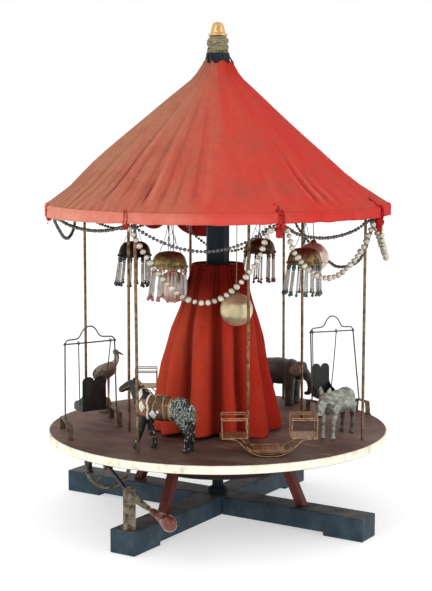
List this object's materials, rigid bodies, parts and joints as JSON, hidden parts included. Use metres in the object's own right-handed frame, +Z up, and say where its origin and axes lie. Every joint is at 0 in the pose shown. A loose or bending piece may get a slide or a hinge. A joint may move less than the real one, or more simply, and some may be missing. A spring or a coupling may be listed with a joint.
{
  "type": "toy carousel",
  "caption": "Hand-cranked toy carousel: a round deck under a cloth canopy, with a gathered skirt, toy animals, wire swings, wire boats, bead lamps and garlands.",
  "frame": {"origin": "on the turning axis at floor level, under the crossing of the two base beams", "axes": "+Z up along the turning axis; the beams lie along X and Y, and the crank stands on the beam end at -Y"},
  "size_m": [0.519, 0.5289, 0.7215],
  "materials": {
    "slate_paint": "worn matt paint on wood",
    "red_wood": "stained, worn",
    "steel": "dull",
    "dark_iron": "dark",
    "handle_wood": "polished",
    "deck_paint": "worn matt paint, light painted rim",
    "post_paint": "matt paint",
    "red_cloth": "faded plain weave",
    "brass": "aged",
    "grey_cord": "wound cord",
    "rod_brass": "tarnished",
    "horse_paint": "painted",
    "pewter": "bare grey casting",
    "elephant_paint": "painted",
    "bird_paint": "painted",
    "black_sheet": "black paint",
    "wire": "dark wire",
    "brass_wire": "tarnished wire",
    "gold_glass": "gold mirrored glass",
    "silver_glass": "rose silver mirrored glass",
    "dark_bead": "dark glass beads",
    "pearl_bead": "silver grey beads"
  },
  "bodies": {
    "base": {"beam_crank": "slate_paint", "beam_cross": "slate_paint", "leg_front": "red_wood", "leg_right": "red_wood", "leg_back": "red_wood", "leg_left": "red_wood", "bearing_plate": "red_wood", "spindle": "steel", "crank_bracket": "steel", "far_bracket": "dark_iron"},
    "crank": {"crank_shaft": "dark_iron", "drive_wheel": "steel", "crank_arm": "steel", "crank_handle": "handle_wood"},
    "carousel": {"deck": "deck_paint", "deck_pulley": "red_wood", "centre_post": "post_paint", "skirt_collar": "dark_iron", "skirt": "red_cloth", "canopy_ring": "red_cloth", "canopy": "red_cloth", "canopy_ribs": "rod_brass", "top_binding": "grey_cord", "finial": "brass", "horse": "horse_paint", "donkey": "pewter", "elephant": "elephant_paint", "stork": "bird_paint", "swing_frame_left": "wire", "swing_frame_right": "wire", "boat_front": "brass_wire", "boat_back": "brass_wire", "ball_gold": "gold_glass", "ball_silver": "silver_glass", "ball_rose": "silver_glass", "garland_dark": "dark_bead", "garland_pearl": "pearl_bead", "rod_outer_1": "rod_brass", "rod_inner_1": "rod_brass", "lamp_1": "brass", "rod_outer_2": "rod_brass", "rod_inner_2": "rod_brass", "lamp_2": "brass", "rod_outer_3": "rod_brass", "rod_inner_3": "rod_brass", "lamp_3": "brass", "rod_outer_4": "rod_brass", "rod_inner_4": "rod_brass", "lamp_4": "brass"},
    "seat_left": {"swing_seat_left": "black_sheet"},
    "seat_right": {"swing_seat_right": "black_sheet"}
  },
  "joints": [
    {"name": "carousel_spin", "type": "hinge", "parent": "base", "child": "carousel", "pos_m": [0, 0, 0.1], "axis": [0, 0, 1], "continuous": true},
    {"name": "crank_spin", "type": "hinge", "parent": "base", "child": "crank", "pos_m": [0.0072, -0.2331, 0.0834], "axis": [-0.7344, 0.6787, 0], "continuous": true},
    {"name": "swing_left", "type": "hinge", "parent": "carousel", "child": "seat_left", "pos_m": [-0.15078, -0.10916, 0.2596], "axis": [-0.4092, -0.9124, 0], "range_deg": [-15, 15]},
    {"name": "swing_right", "type": "hinge", "parent": "carousel", "child": "seat_right", "pos_m": [0.08668, 0.16716, 0.2596], "axis": [0.6186, 0.7857, 0], "range_deg": [-15, 15]}
  ]
}
